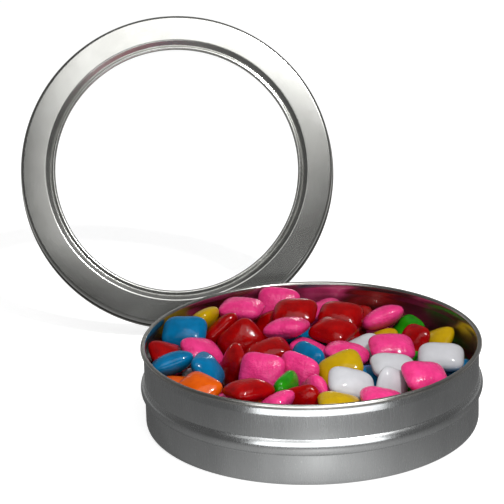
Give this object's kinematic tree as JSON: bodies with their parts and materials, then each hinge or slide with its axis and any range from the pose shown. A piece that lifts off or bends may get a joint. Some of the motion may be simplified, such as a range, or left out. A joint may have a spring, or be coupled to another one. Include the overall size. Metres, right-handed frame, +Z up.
{
  "type": "window tin",
  "caption": "Round satin tinplate tin heaped with glossy sugar-coated sweets in mixed colours, its slip lid with a clear round window standing open behind it",
  "frame": {"origin": "centre of the flat base of the tin, on the table that the tin and the lid's edge stand on", "axes": "+Z up, -Y towards the viewer in front of the tin, +Y towards the lid that stands behind it, +X to the right as seen from the front"},
  "size_m": [0.1318, 0.1563, 0.0898],
  "materials": {
    "tinplate": "satin tinplate with a fine grain",
    "clear": "clear film, polished",
    "mixed": "sugar shells of mixed colours, seen only between the sweets above them",
    "yellow": "glossy yellow sugar shell",
    "blue": "glossy blue sugar shell",
    "red": "glossy dark red sugar shell",
    "pink": "glossy pink sugar shell",
    "orange": "glossy orange sugar shell",
    "green": "glossy green sugar shell",
    "white": "glossy white sugar shell"
  },
  "bodies": {
    "tin": {"tin_body": "tinplate", "sweets_below": "mixed", "yellow_sweet_1": "yellow", "blue_sweet_1": "blue", "red_sweet_1": "red", "blue_sweet_2": "blue", "red_sweet_2": "red", "pink_sweet_1": "pink", "red_sweet_3": "red", "pink_sweet_2": "pink", "blue_sweet_3": "blue", "orange_sweet_1": "orange", "orange_sweet_2": "orange", "red_sweet_4": "red", "pink_sweet_3": "pink", "red_sweet_5": "red", "pink_sweet_4": "pink", "pink_sweet_5": "pink", "red_sweet_6": "red", "pink_sweet_6": "pink", "red_sweet_7": "red", "red_sweet_8": "red", "pink_sweet_7": "pink", "green_sweet_1": "green", "yellow_sweet_2": "yellow", "red_sweet_9": "red", "white_sweet_1": "white", "yellow_sweet_3": "yellow", "pink_sweet_8": "pink", "white_sweet_2": "white", "pink_sweet_9": "pink", "pink_sweet_10": "pink", "blue_sweet_4": "blue", "blue_sweet_5": "blue", "blue_sweet_6": "blue", "yellow_sweet_4": "yellow", "white_sweet_3": "white", "blue_sweet_7": "blue", "white_sweet_4": "white", "pink_sweet_11": "pink", "white_sweet_5": "white", "pink_sweet_12": "pink", "yellow_sweet_5": "yellow", "pink_sweet_13": "pink", "green_sweet_2": "green", "pink_sweet_14": "pink", "red_sweet_10": "red", "pink_sweet_15": "pink", "red_sweet_11": "red", "pink_sweet_16": "pink", "red_sweet_12": "red"},
    "lid": {"lid_ring": "tinplate", "window_pane": "clear"}
  },
  "joints": [
    {"name": "lid_lift", "type": "slide", "parent": "tin", "child": "lid", "axis": [0, 0, 1], "range_m": [0, 0.12]}
  ]
}
